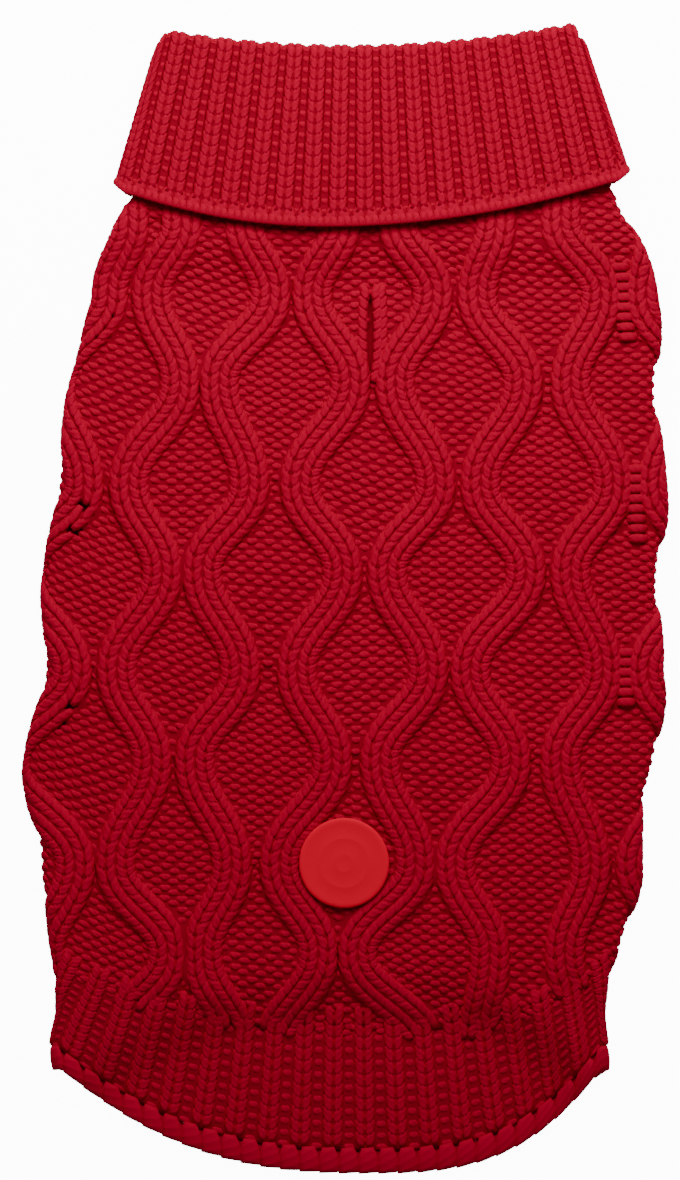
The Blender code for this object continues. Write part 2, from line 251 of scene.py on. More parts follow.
def on_collar(rib, down, rise):
    """A place on the collar's outer face: rib counts round it from the top's left end, down counts rows
    from the fold. Above nought rows it passes over the fold and down inside the neck."""
    rib, down, rise = np.broadcast_arrays(np.mod(rib, COLLAR_RIBS), down, rise)
    face, end = COLLAR_FACE_RIBS, COLLAR_END_RIBS
    marks = (0, face, face + end, 2 * face + end, COLLAR_RIBS)
    share = np.interp(rib, marks, (0, 1, 1, 0, 0))
    turn = np.interp(rib, marks, (pi / 2, pi / 2, -pi / 2, -pi / 2, -pi / 2))
    turn = np.where(rib > marks[3], -pi / 2 + pi * (rib - marks[3]) / end, turn)
    corner = np.cos(turn) ** 2
    seam = body_row(np.array(NECK_Y))
    seam_ends = (float(seam["left"]) + TUBE_OUTER, float(seam["right"]) - TUBE_OUTER)
    fold_ends = (FOLD_LEFT + ROLL_OUTER, FOLD_RIGHT - ROLL_OUTER)
    roll_ends = (ROLL_LEFT + ROLL_OUTER, ROLL_RIGHT - ROLL_OUTER)
    fold_x = fold_ends[0] + (fold_ends[1] - fold_ends[0]) * share
    fold_y = FOLD_DIP_Y - FOLD_MIDDLE / 2 - 0.5
    fold_y = fold_y + rising(fold_x, FOLD_DIP_X, *fold_ends, FOLD_LEFT_RISE, FOLD_RIGHT_RISE)
    fold_y = fold_y - FOLD_CORNER * corner
    roll_x = roll_ends[0] + (roll_ends[1] - roll_ends[0]) * share
    low_y = ROLL_LOW_Y + rising(roll_x, ROLL_LOW_X, *roll_ends, ROLL_LEFT_RISE, ROLL_RIGHT_RISE)
    low_y = low_y + ROLL_CORNER * corner
    rise = rise - PRESSED * smooth_step(-np.sin(turn)) * (down > -FOLD_ROWS / 2)
    inside = down < -FOLD_ROWS
    over = pi * np.clip(-down / FOLD_ROWS, 0, 1)
    depth = FOLD_MIDDLE + (FOLD_RADIUS + rise) * np.cos(over)
    fallen = np.where(inside, (-down - FOLD_ROWS) / STAND_ROWS, np.clip(down, 0, None) / COLLAR_ROWS)
    length = np.where(inside, fold_y - NECK_Y + seam["back_drop"] * (1 - corner), fold_y - low_y)
    y = fold_y - length * fallen + (FOLD_RADIUS + rise) * np.sin(over)
    left = fold_ends[0] + (np.where(inside, seam_ends[0], roll_ends[0]) - fold_ends[0]) * fallen
    right = fold_ends[1] + (np.where(inside, seam_ends[1], roll_ends[1]) - fold_ends[1]) * fallen
    x = left + (right - left) * share + depth * np.cos(turn) * np.where(share > 0.5, 1, -1)
    z = np.maximum(ROLL_OUTER + depth * np.sin(turn), FLOOR_RISE)
    return np.stack([x, y, z], axis=-1)


# ---------------------------------------------------------------- the cables' lines


def cable_x(name, y):
    """Where a cable's middle runs, easing from each turning place to the next."""
    heights, turns = np.array(CABLE_Y[::-1], float), np.array(CABLES[name][::-1], float)
    low = np.clip(np.searchsorted(heights, y) - 1, 0, len(heights) - 2)
    t = np.clip((y - heights[low]) / (heights[low + 1] - heights[low]), 0, 1)
    eased = (1 - np.cos(pi * t)) / 2
    eased = 0.4 * eased + 0.6 * t**3 * (10 - 15 * t + 6 * t**2)
    return turns[low] + (turns[low + 1] - turns[low]) * eased


def cable_slope(name, y):
    """How far a cable runs sideways for each millimetre up."""
    return cable_x(name, y + 0.5) - cable_x(name, y - 0.5)


def cable_halves(name, y):
    """A cable's half width on its left and right, less where it is squeezed by its neighbour."""
    names = list(CABLES)
    place = names.index(name)
    here = cable_x(name, y)
    halves = []
    for other in (place - 1, place + 1):
        gap = np.full(np.shape(y), 99.0)
        if 0 <= other < len(names):
            gap = np.abs(cable_x(names[other], y) - here)
        halves.append(np.minimum(CABLE_HALF, gap / 2 - 0.15))
    return halves


def cable_share(across, y):
    """How far a place is from the nearest cable's middle, 1 being at its edge."""
    nearest = np.full(np.shape(across), 9.0)
    for name in CABLES:
        slope = cable_slope(name, y)
        left, right = cable_halves(name, y)
        offset = (across - cable_x(name, y)) / np.sqrt(1 + slope**2)
        share = np.where(offset < 0, -offset / left, offset / right)
        nearest = np.minimum(nearest, share)
    return nearest


def sag(across, y):
    """How far the ground is drawn down, 1 being the most: just below each place where two cables touch."""
    names = list(CABLES)
    heights = np.array(CABLE_Y, float)
    drawn = np.zeros(np.shape(across))
    for left, right in zip(names, names[1:]):
        gaps = np.array(CABLES[right], float) - np.array(CABLES[left], float)
        marks = [(heights[0] + 1, 0.0)]
        for touch, gap in zip(heights, gaps):
            if gap < TOUCHING_GAP:
                marks += [(touch + 3, 0.0), (touch, 1.0), (touch - 12, 0.8), (touch - 30, 0.0)]
        marks = np.array(sorted(marks))
        between = (across > cable_x(left, y)) & (across < cable_x(right, y))
        drawn = np.where(between, np.interp(y, marks[:, 0], marks[:, 1]), drawn)
    return drawn


def crown(share, across, y):
    """A cable's rise above the ground, from its middle to its edge. It sinks into the rib's level at the
    hem."""
    row = body_row(np.full(np.shape(y), RIB_Y))
    above = y - RIB_Y + row["back_drop"] * bow(row, across)
    height = CABLE_AT_RIB + (1 - CABLE_AT_RIB) * smooth_step(above / CABLE_SINKING)
    return CABLE_CROWN * height * np.sqrt(np.clip(1 - share**3, 0, 1))


# ---------------------------------------------------------------- strands of yarn


def strand(path, half_width, half_height, sides=6):
    """A short closed strand, with an even number of sides, along a path of (across, along, rise) points:
    its points, its faces, and how far along and around it each point is."""
    path = np.array(path, float)
    heading = np.gradient(path[:, :2], axis=0)
    heading /= np.linalg.norm(heading, axis=1)[:, None]
    sideways = np.stack([heading[:, 1], -heading[:, 0]], axis=1)
    around = (np.arange(sides) + 0.5) / sides
    angle = -pi / 2 + 2 * pi * around
    wide = np.outer(half_width, np.cos(angle))
    high = np.outer(half_height, np.sin(angle))
    level = path[:, None, :2] + wide[..., None] * sideways[:, None, :]
    points = np.concatenate([level, (path[:, None, 2] + high)[..., None]], axis=2)
    rings = len(path)
    ring, side = np.meshgrid(np.arange(rings - 1), np.arange(sides), indexing="ij")
    nxt = (side + 1) % sides
    here, there = ring * sides, (ring + 1) * sides
    quads = np.stack([here + side, here + nxt, there + nxt, there + side], -1).reshape(-1, 4)
    caps = np.array([(0, i, i + 1, i + 2) for i in range(1, sides - 1, 2)])
    foot = caps[:, ::-1]
    head = caps + (rings - 1) * sides
    steps = np.linalg.norm(np.diff(path, axis=0), axis=1)
    along = np.concatenate([[0], np.cumsum(steps)])
    marks = np.stack([np.repeat(along, sides), np.tile(around, rings)], axis=1)
    return points.reshape(-1, 3), np.concatenate([quads, foot, head]), marks


def mirrored(stamp):
    """The left leg from the right one."""
    points, faces, marks = stamp
    return points * (-1, 1, 1), faces[:, ::-1], marks


def leg(width, course, rings=6, sides=6, spread=0.36):
    """The right leg of a V stitch: it comes out of the stitch below near the middle of its wale, swells,
    and leans out as it goes under the stitch above."""
    t = np.linspace(0, 1, rings)
    across = width * (0.50 + spread * (smooth_step(t * 1.05) - 0.5))
    along = course * (LEG_FOOT + LEG_RUN * t)
    swell = np.sin(pi * (0.12 + 0.76 * t)) ** 0.55
    rise = 0.26 * np.sin(pi * (0.16 + 0.80 * t)) - 0.26 * t - 0.14
    return strand(np.stack([across, along, rise], 1), 0.47 * width * swell, 0.58 * swell, sides)


def purl_bump(head=True, rings=5, sides=6):
    """The head or foot of a purl stitch: a short fat arc whose ends dive into the cloth."""
    t = np.linspace(-1, 1, rings)
    across = 2.05 * t
    along = (0.25 - 0.75 * t**2) * (1 if head else -1)
    rise = 0.10 - 0.62 * t**2
    swell = 1 - 0.24 * t**2
    return strand(np.stack([across, along, rise], 1), 1.16 * swell, 0.62 * swell, sides)


def rib_purl(reach, rings=4, sides=6):
    """The bump of a rib's purl stitch, lying across its valley and reaching this far each way."""
    t = np.linspace(-1, 1, rings)
    swell = 1 - 0.25 * t**2
    path = np.stack([reach * t, 0.25 - 0.5 * t**2, 0.35 - 0.55 * t**2], 1)
    return strand(path, 1.35 * swell, 0.65 * swell, sides)


def repeated(faces, count, size):
    """The faces of so many strands, each of size points."""
    return (faces[None] + size * np.arange(count)[:, None, None]).reshape(-1, faces.shape[1])


def make_piece(name, parts, finish):
    """One object of many strands. A part is (points, faces, marks, tones): the points of each strand in
    place, the faces and marks of one, and a tone for each strand."""
    points, faces, marks, start = [], [], [], 0
    for placed, stamp_faces, stamp_marks, tones in parts:
        count, size = placed.shape[:2]
        points.append(placed.reshape(-1, 3))
        faces.append(repeated(stamp_faces, count, size) + start)
        tone = np.repeat(tones, size)
        both = np.tile(stamp_marks, (count, 1))
        marks.append(np.column_stack([both, tone]))
        start += count * size
    mesh = bpy.data.meshes.new(name)
    mesh.from_pydata(np.concatenate(points) * MM, [], np.concatenate(faces))
    strands = mesh.attributes.new("Strand", "FLOAT_VECTOR", "POINT")
    strands.data.foreach_set("vector", np.concatenate(marks).astype(np.float32).ravel())
    mesh.shade_smooth()
    mesh.materials.append(finish)
    piece = bpy.data.objects.new(name, mesh)
    bpy.context.scene.collection.objects.link(piece)
    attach(piece, "root")
    return piece


def tones(count):
    """A tone of its own for each strand, lighter or darker."""
    return CHANCE.random(count)


# ---------------------------------------------------------------- shells of cloth


def open_leg_holes(flat, quads):
    """Takes the leg holes out of a sheet's underside and draws the cloth round them to an even oval, and
    opens the small holes where a stitch was dropped."""
    flat = flat.copy()
    for centre in LEG_CENTRES.values():
        oval = np.array(LEG_HOLE) + LEG_BAND + SEAM
        away = (flat[:, :2] - centre) / oval
        reach = np.hypot(away[:, 0], away[:, 1])
        inside = (reach < 1) & (flat[:, 2] < TUBE_OUTER)
        quads = quads[~inside[quads].all(axis=1)]
        drawn = away[inside] / reach[inside, None]
        flat[inside, :2] = centre + drawn * oval
    dropped = (near_dropped(flat[:, 0], flat[:, 1]) > 0.8) & (flat[:, 2] > TUBE_OUTER)
    quads = quads[~dropped[quads].any(axis=1)]
    return flat, quads


def make_shell(name, points, finish, thickness=CLOTH, slit=None, closed=False, leg_holes=False):
    """A grid of places, a row at a time, as a sheet of cloth with its wall on the inner side."""
    rows, columns = points.shape[:2]
    index = np.arange(rows * columns).reshape(rows, columns)
    right = index.copy()
    flat = points.reshape(-1, 3)
    if slit is not None:
        column, slit_rows, gap = slit
        extra = flat[index[slit_rows, column]].copy()
        flat = flat.copy()
        flat[index[slit_rows, column], 0] -= gap
        extra[:, 0] += gap
        right[slit_rows, column] = len(flat) + np.arange(len(extra))
        flat = np.concatenate([flat, extra])
    left_side, right_side = index, right
    lead = np.where(np.arange(columns)[None, :] == (slit[0] if slit else -1), right_side, left_side)
    quads = np.stack([lead[:-1, :-1], lead[1:, :-1], left_side[1:, 1:], left_side[:-1, 1:]], -1)
    quads = quads.reshape(-1, 4)
    if closed:
        last = np.stack([index[:-1, -1], index[1:, -1], index[1:, 0], index[:-1, 0]], -1)
        quads = np.concatenate([quads, last])
    if leg_holes:
        flat, quads = open_leg_holes(flat, quads)
        used = np.unique(quads)
        renumbered = np.zeros(len(flat), int)
        renumbered[used] = np.arange(len(used))
        flat, quads = flat[used], renumbered[quads]
    mesh = bpy.data.meshes.new(name)
    mesh.from_pydata(flat * MM, [], quads)
    mesh.shade_smooth()
    mesh.materials.append(finish)
    piece = bpy.data.objects.new(name, mesh)
    bpy.context.scene.collection.objects.link(piece)
    wall = piece.modifiers.new("Cloth", "SOLIDIFY")
    wall.thickness = thickness * MM
    wall.offset = -1.0
    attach(piece, "root")
    return piece


# ---------------------------------------------------------------- materials

DYE_CLOUDS, FIBRE_SPECKS, HAIRS = 28.0, 900.0, 2600.0  # noise scales: a higher one is finer
PATCH_CLOUDS, PATCH_GRAIN = 90.0, 1800.0
STRAND_SPREAD, SPECK_SPREAD, DARKER_BY = 0.45, 0.35, 0.45  # how strands and specks vary in tone
YARN_RELIEF, PATCH_RELIEF = 0.00016, 0.00005  # metres
MATT_SPECULAR = 0.04


def group_nodes(name, inputs, outputs):
    """A node group with named sockets: (name, kind, default) for inputs, (name, kind) for outputs."""
    group = bpy.data.node_groups.new(name, "ShaderNodeTree")
    for socket, kind, value in inputs:
        made = group.interface.new_socket(socket, in_out="INPUT", socket_type=kind)
        if value is not None:
            made.default_value = value
    for socket, kind in outputs:
        group.interface.new_socket(socket, in_out="OUTPUT", socket_type=kind)
    return group, group.nodes.new("NodeGroupInput"), group.nodes.new("NodeGroupOutput")


def maths(tree, operation, first, second=None, third=None):
    node = tree.nodes.new("ShaderNodeMath")
    node.operation = operation
    for socket, value in zip(node.inputs, (first, second, third)):
        if isinstance(value, bpy.types.NodeSocket):
            tree.links.new(value, socket)
        elif value is not None:
            socket.default_value = value
    return node.outputs[0]


def mixed(tree, share, first, second):
    node = tree.nodes.new("ShaderNodeMix")
    node.data_type = "RGBA"
    for socket, value in ((node.inputs[0], share), (node.inputs[6], first), (node.inputs[7], second)):
        if isinstance(value, bpy.types.NodeSocket):
            tree.links.new(value, socket)
        else:
            socket.default_value = value
    return node.outputs[2]


def noise(tree, where, scale, detail=3.0):
    node = tree.nodes.new("ShaderNodeTexNoise")
    node.inputs["Scale"].default_value = scale
    node.inputs["Detail"].default_value = detail
    tree.links.new(where, node.inputs["Vector"])
    return node.outputs["Fac"]


def strand_marks(tree):
    """What each strand carries: X how far along it a place is, Y how far round it, and Z its own tone."""
    mark = tree.nodes.new("ShaderNodeAttribute")
    mark.attribute_name = "Strand"
    parts = tree.nodes.new("ShaderNodeSeparateXYZ")
    tree.links.new(mark.outputs["Vector"], parts.inputs[0])
    return parts.outputs


def yarn_tone_group():
    """Yarn colour: lighter and darker strands, cloudy dye, and specks of loose fibre."""
    number, colour = "NodeSocketFloat", "NodeSocketColor"
    group, given, result = group_nodes(
        "Yarn tone",
        [("Yarn", colour, YARN_RED), ("Worn", colour, YARN_LIT), ("Strength", number, 0.5)],
        [("Colour", colour)],
    )
    place = group.nodes.new("ShaderNodeTexCoord").outputs["Object"]
    parts = strand_marks(group)
    cloud = noise(group, place, DYE_CLOUDS, 2.0)
    speck = noise(group, place, FIBRE_SPECKS, 2.0)
    share = maths(group, "MULTIPLY_ADD", parts["Z"], STRAND_SPREAD, cloud)
    share = maths(group, "MULTIPLY_ADD", speck, SPECK_SPREAD, share)
    share = maths(group, "SUBTRACT", share, DARKER_BY)
    share = maths(group, "MULTIPLY", share, given.outputs["Strength"])
    kept = group.nodes.new("ShaderNodeClamp")
    group.links.new(share, kept.inputs[0])
    tint = mixed(group, kept.outputs[0], given.outputs["Yarn"], given.outputs["Worn"])
    group.links.new(tint, result.inputs["Colour"])
    return group


def ply_twist_group():
    """The plies' twist along a strand, and the hairs on it, as a height."""
    number = "NodeSocketFloat"
    group, given, result = group_nodes(
        "Ply twist",
        [("Plies", number, 3.0), ("Turn", number, 0.42), ("Hair", number, 0.5)],
        [("Height", number)],
    )
    parts = strand_marks(group)
    along = maths(group, "MULTIPLY", parts["X"], given.outputs["Turn"])
    around = maths(group, "MULTIPLY", parts["Y"], given.outputs["Plies"])
    wave = maths(group, "MULTIPLY", maths(group, "ADD", along, around), 2 * pi)
    ply = maths(group, "ABSOLUTE", maths(group, "SINE", maths(group, "MULTIPLY", wave, 0.5)))
    place = group.nodes.new("ShaderNodeTexCoord").outputs["Object"]
    hair = noise(group, place, HAIRS, 3.0)
    height = maths(group, "MULTIPLY_ADD", hair, given.outputs["Hair"], ply)
    group.links.new(height, result.inputs["Height"])
    return group


YARN_TONE = yarn_tone_group()
PLY_TWIST = ply_twist_group()


def placed_group(tree, group, **values):
    node = tree.nodes.new("ShaderNodeGroup")
    node.node_tree = group
    for name, value in values.items():
        node.inputs[name].default_value = value
    return node


def yarn_finish(name, yarn, worn, strength):
    """Brushed acrylic yarn: matt, with a soft sheen."""
    made = bpy.data.materials.new(name)
    made.use_nodes = True
    tree = made.node_tree
    shader = tree.nodes["Principled BSDF"]
    tone = placed_group(tree, YARN_TONE, Yarn=yarn, Worn=worn, Strength=strength)
    twist = placed_group(tree, PLY_TWIST)
    bump = tree.nodes.new("ShaderNodeBump")
    bump.inputs["Strength"].default_value = 0.7
    bump.inputs["Distance"].default_value = YARN_RELIEF
    tree.links.new(twist.outputs["Height"], bump.inputs["Height"])
    tree.links.new(tone.outputs["Colour"], shader.inputs["Base Color"])
    tree.links.new(bump.outputs["Normal"], shader.inputs["Normal"])
    shader.inputs["Roughness"].default_value = 0.85
    shader.inputs["Specular IOR Level"].default_value = MATT_SPECULAR
    shader.inputs["Sheen Weight"].default_value = 0.5
    shader.inputs["Sheen Roughness"].default_value = 0.5
    shader.inputs["Sheen Tint"].default_value = (1.0, 0.01, 0.05, 1.0)
    return made


def patch_finish():
    """Soft moulded rubber: an even satin red with fine specks."""
    made = bpy.data.materials.new("patch_rubber")
    made.use_nodes = True
    tree = made.node_tree
    shader = tree.nodes["Principled BSDF"]
    place = tree.nodes.new("ShaderNodeTexCoord").outputs["Object"]
    grain = noise(tree, place, PATCH_GRAIN, 2.0)
    cloud = noise(tree, place, PATCH_CLOUDS, 2.0)
    tint = mixed(tree, maths(tree, "MULTIPLY", cloud, 0.5), PATCH_RED, PATCH_LIT)
    bump = tree.nodes.new("ShaderNodeBump")
    bump.inputs["Strength"].default_value = 0.3
    bump.inputs["Distance"].default_value = PATCH_RELIEF
    tree.links.new(grain, bump.inputs["Height"])
    tree.links.new(tint, shader.inputs["Base Color"])
    tree.links.new(bump.outputs["Normal"], shader.inputs["Normal"])
    shader.inputs["Roughness"].default_value = 0.6
    shader.inputs["Specular IOR Level"].default_value = MATT_SPECULAR
    return made


BODY_YARN = yarn_finish("body_yarn", YARN_RED, YARN_LIT, 0.5)
# The cloth between the stitches, coloured in painted shade: darker than the yarn it is made of.
BODY_CLOTH_IN_PAINTED_SHADE = yarn_finish("cloth_between_stitches_painted_shade", SHADOW_RED, YARN_RED, 0.3)


# ---------------------------------------------------------------- the back


# The back's columns: under a side, round it, and on top as far as the slit.
LAP_STEPS, ROUND_STEPS, TOP_STEPS = 14, 10, 58


def back_stations(row):
    """Where the shell's columns stand round the body, from the seam under the left to that under the
    right."""
    inner_left, inner_right = row["left"] + TUBE_OUTER, row["right"] - TUBE_OUTER
    half_round = pi * TUBE_OUTER
    lap = UNDER_LAP - TUBE_OUTER - SEAM / 2
    runs = (
        (inner_left - half_round - lap, inner_left - half_round, LAP_STEPS),
        (inner_left - half_round, inner_left, ROUND_STEPS),
        (inner_left, np.full_like(inner_left, SLIT_X), TOP_STEPS),
        (np.full_like(inner_left, SLIT_X), inner_right, TOP_STEPS),
        (inner_right, inner_right + half_round, ROUND_STEPS),
        (inner_right + half_round, inner_right + half_round + lap, LAP_STEPS),
    )
    stations = [
        start[:, None] + (end - start)[:, None] * np.arange(steps) / steps for start, end, steps in runs
    ]
    return np.concatenate([*stations, runs[-1][1][:, None]], axis=1)


def make_back():
    """The back's cloth: raised under the cables, drawn down between them, and slit."""
    side_y = np.linspace(NECK_Y, RIB_Y, 160)
    row = body_row(side_y)
    across = back_stations(row)
    side = np.repeat(side_y[:, None], across.shape[1], axis=1)
    place = on_row(side, across, 0.0)
    place_y, on_top = place[..., 1], place[..., 2] > MID_HEIGHT
    share = cable_share(across, place_y)
    drawn = GROUND_SAG * sag(across, place_y) * (share > 0.95)
    rise = GROUND_RISE + (crown(share, across, place_y) - drawn) * on_top
    rise = rise - DROPPED_DEPTH * near_dropped(across, place_y) * on_top
    points = on_row(side, across, rise)
    column = LAP_STEPS + ROUND_STEPS + TOP_STEPS
    y = points[:, column, 1]
    inside = np.flatnonzero(np.abs(y - SLIT_Y) < SLIT_LENGTH / 2)
    gap = SLIT_WIDTH / 2 * np.sqrt(1 - ((y[inside] - SLIT_Y) / (SLIT_LENGTH / 2)) ** 2)
    shell = make_shell("back_cloth", points, BODY_CLOTH_IN_PAINTED_SHADE, slit=(column, inside, gap), leg_holes=True)
    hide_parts("back_panel")
    return shell


def cable_legs(name, stamp, column):
    """A cable's column of legs, laid along its line. column is the side of the cable's middle line, -1 or
    1."""
    y = np.arange(150, -152, -0.5)
    x = cable_x(name, y)
    length = np.concatenate([[0], np.cumsum(np.hypot(np.diff(x), np.diff(y)))])
    starts = np.arange(3.0, length[-1] - 6, CABLE_COURSE)
    points, faces, marks = stamp
    reach = starts[:, None] - points[None, :, 1]
    mid_y = np.interp(reach, length, y)
    mid_x = cable_x(name, mid_y)
    slope = cable_slope(name, mid_y)
    left, right = cable_halves(name, mid_y)
    offset = column * CABLE_HALF / 2 + points[None, :, 0]
    offset = offset * np.where(offset < 0, left, right) / CABLE_HALF
    steep = np.sqrt(1 + slope**2)
    across = mid_x + offset / steep
    place_y = mid_y - offset * slope / steep
    share = np.where(offset < 0, -offset / left, offset / right)
    rise = GROUND_RISE + crown(np.clip(share, 0, 0.97), across, place_y) + points[None, :, 2]
    return across, place_y, rise, faces, marks


def on_the_back(across, y, edge=0.0):
    """True where a place is on the back's knitting, clear of the hem's rib and of the neck seam."""
    side_y = row_through(across, y)
    return (side_y > RIB_Y + edge) & (side_y < NECK_Y - 1)


def make_cables():
    """The cables' yarn: each has two columns of V stitches."""
    width = CABLE_HALF / 2
    right_leg = leg(width, CABLE_COURSE * LONG_LEG, spread=0.30)
    parts = []
    for name in CABLES:
        for column in (-1, 1):
            for stamp in (right_leg, mirrored(right_leg)):
                across, y, rise, faces, marks = cable_legs(name, stamp, column)
                mid_x, mid_y = across.mean(1), y.mean(1)
                row = body_row(mid_y)
                beyond = np.abs(mid_x - np.clip(mid_x, row["left"], row["right"]))
                keep = on_the_back(mid_x, mid_y, -0.8) & (beyond < 5.5)
                keep &= near_dropped(mid_x, mid_y) < 0.4
                placed = on_back(across[keep], y[keep], rise[keep])
                parts.append((placed, faces, marks, tones(keep.sum())))
    return make_piece("cable_stitches", parts, BODY_YARN)


def ground_lean(x, y):
    """How far the ground's rows are dragged up or down at a place by the cables' pull."""
    pull = 2.2 * np.sin(2 * pi * (x + 45) / 88) * np.sin(2 * pi * (y - 3) / 125)
    return pull - 0.07 * x + 0.0035 * np.clip(-50 - x, 0, None) ** 2


LIP_REACH = 4.6  # the slit's lips and their stitches reach this far to each side


def make_slit_lips():
    """The two lips of the leash slit: on the right two columns of leaning stitches, raised, and on the left
    one.
    """
    course = COURSE * 0.92
    y = SLIT_Y + np.arange(-SLIT_LENGTH / 2 - 2.5, SLIT_LENGTH / 2 + 1, course)
    parts = []
    for side in (-1, 1):
        lip_rise = 0.35 if side > 0 else 0.0
        stamp = leg(3.1, course)
        points, faces, marks = stamp if side > 0 else mirrored(stamp)
        for column, start, lift in ((0, 0.55, 0.0), (1, 2.5, -0.2))[: 2 if side > 0 else 1]:
            place_y = y[:, None] + points[None, :, 1]
            part = 1 - ((place_y - SLIT_Y) / (SLIT_LENGTH / 2 + 0.6)) ** 2
            gap = SLIT_WIDTH / 2 * np.sqrt(np.clip(part, 0, 1))
            across = SLIT_X + side * (gap * (1 - 0.3 * column) + start - 0.45) + points[None, :, 0]
            rise = GROUND_RISE + 0.25 + lift + lip_rise + points[None, :, 2]
            parts.append((on_back(across, place_y, rise), faces, marks, tones(len(y))))
    return make_piece("slit_lip_stitches", parts, BODY_YARN)


# Where a stitch was dropped, in pairs down the left side.
DROPPED = ((-77.4, 95.7), (-81.8, 88.0), (-86.8, 30.7), (-90.4, 23.0), (-91.1, -34.7), (-95.1, -42.0))
DROPPED_RADIUS, DROPPED_DEPTH = 1.9, 1.3


def near_dropped(x, y):
    """How near a place is to one of the small holes where a stitch was dropped: 1 at its middle, 0 outside
    it."""
    reach = np.full(np.shape(x), 99.0)
    for hole_x, hole_y in DROPPED:
        reach = np.minimum(reach, np.hypot(x - hole_x, y - hole_y))
    return 1 - smooth_step(reach / DROPPED_RADIUS - 0.5)


LADDERS, LADDER_STEP = ((110, 84), (43, 18), (-18, -36)), 3.3  # each ladder's top and foot


def make_ladders():
    """Floats of yarn across the narrow channel beside the right edge's cable."""
    points, faces, marks = strand(
        [(-3.0, 0.0, -0.5), (-1.6, 0.2, 0.3), (0.0, 0.25, 0.5), (1.6, 0.2, 0.3), (3.0, 0.0, -0.5)],
        np.array([1.1, 1.5, 1.6, 1.5, 1.1]),
        np.array([0.5, 0.6, 0.6, 0.6, 0.5]),
    )
    y = np.concatenate([np.arange(top, low, -LADDER_STEP) for top, low in LADDERS])
    x = (cable_x("sixth", y) + cable_x("right_edge", y)) / 2
    across, along = x[:, None] + points[None, :, 0], y[:, None] + points[None, :, 1]
    placed = on_back(across, along, points[None, :, 2] - 0.2)
    return make_piece("ladder_stitches", [(placed, faces, marks, tones(len(y)))], BODY_YARN)


def make_ground():
    """The ground's purl bumps in their brick pattern: heads in one set of rows, feet in the other."""
    columns = np.arange(-24, 25) * WALE
    rows = np.arange(140, -150, -COURSE / 2)
    parts = []
    for half in (0, 1):
        x, y = np.meshgrid(columns + half * WALE / 2, rows[half::2])
        x, y = x.ravel(), y.ravel()
        x = x + 0.12 * (y % 30) / 3 + CHANCE.normal(0, 0.12, x.size)
        y = y + ground_lean(x, y) + CHANCE.normal(0, 0.10, x.size)
        row = body_row(np.clip(y, HEM_Y, NECK_Y))
        beyond = np.abs(x - np.clip(x, row["left"], row["right"]))
        keep = (cable_share(x, y) > 0.9) & on_the_back(x, y, -0.8) & (beyond < 6)
        beside_slit = (x > SLIT_X - LIP_REACH / 2) & (x < SLIT_X + LIP_REACH)
        in_slit = beside_slit & (np.abs(y - SLIT_Y) < SLIT_LENGTH / 2 + 1)
        keep &= ~in_slit & (near_dropped(x, y) < 0.4)
        x, y = x[keep], y[keep]
        points, faces, marks = purl_bump(head=half == 0)
        lean = (ground_lean(x + 1, y) - ground_lean(x - 1, y)) / 2
        across = x[:, None] + points[None, :, 0]
        along = y[:, None] + points[None, :, 1] + lean[:, None] * points[None, :, 0]
        drawn = GROUND_SAG * sag(x, y)
        placed = on_back(across, along, GROUND_RISE - drawn[:, None] + points[None, :, 2])
        parts.append((placed, faces, marks, tones(keep.sum())))
    return make_piece("ground_stitches", parts, BODY_YARN)


# ---------------------------------------------------------------- the collar


def rib_relief(rib, wale, valley):
    """The rise of ribbed cloth: a flat-topped ridge under each wale, whose share of the rib is given, and
    a valley between, down to its own rise. A wale's middle is at each half rib."""
    off = np.abs(np.mod(rib, 1.0) - 0.5) / (wale / 2)
    return valley + (RIDGE_RISE - valley) * np.sqrt(np.clip(RIDGE_FLAT - off**4, 0, 1))


def even(down):
    """A wale that keeps its width."""
    return 1.0 + 0.0 * down


def rib_stitches(
    name, place, relief, ribs, downs, pitch, course, wale, valley, bump_depth, reach=None, widen=even
):
    """The V stitches of a ribbed piece, a wale a rib, and the purl bumps down in its valleys. place turns
    (rib, down, rise) into a point; pitch and course are the size of one rib and one row; reach says which
    stitches are made, and widen how a wale spreads."""
    width = wale * pitch / 2
    right_leg = leg(width, course * LONG_LEG, spread=RIB_SPREAD)
    rib, down = (grid.ravel() for grid in np.meshgrid(ribs, downs))
    parts = []
    for stamp in (right_leg, mirrored(right_leg)):
        points, faces, marks = stamp
        along = down[:, None] - points[None, :, 1] / course
        across = rib[:, None] + 0.5 + points[None, :, 0] / pitch * widen(along)
        rise = relief(across, along) + points[None, :, 2]
        keep = np.ones(len(rib), bool) if reach is None else reach(rib + 0.5, down)
        parts.append((place(across, along, rise)[keep], faces, marks, tones(keep.sum())))
    points, faces, marks = rib_purl((1 - wale) * pitch / 2 + 0.35)
    across = rib[:, None] + points[None, :, 0] / pitch
    along = down[:, None] + 0.5 - points[None, :, 1] / course
    rise = valley - (1 - wale) * VALLEY_TUCK - bump_depth + points[None, :, 2]
    keep = widen(down) < 1.1
    if reach is not None:
        keep &= reach(rib, down)
    # Painted shade: the purl bumps down in the valleys get half a tone, so they come out darker.
    parts.append((place(across, along, rise)[keep], faces, marks, tones(keep.sum()) * 0.5))
    return make_piece(name, parts, BODY_YARN)


COLLAR_PHASE = -0.1  # the first valley's place, in ribs
COLLAR_WALE = 0.72  # a wale's share of its rib
COLLAR_EDGE_ROWS = 1.5  # rows of the plain band at its edge


def collar_widen(down):
    """The wales spread into each other in the plain band."""
    banded = smooth_step((down - COLLAR_ROWS + COLLAR_EDGE_ROWS + 0.3) / 0.6)
    return 1 + (1 / COLLAR_WALE - 1) * banded


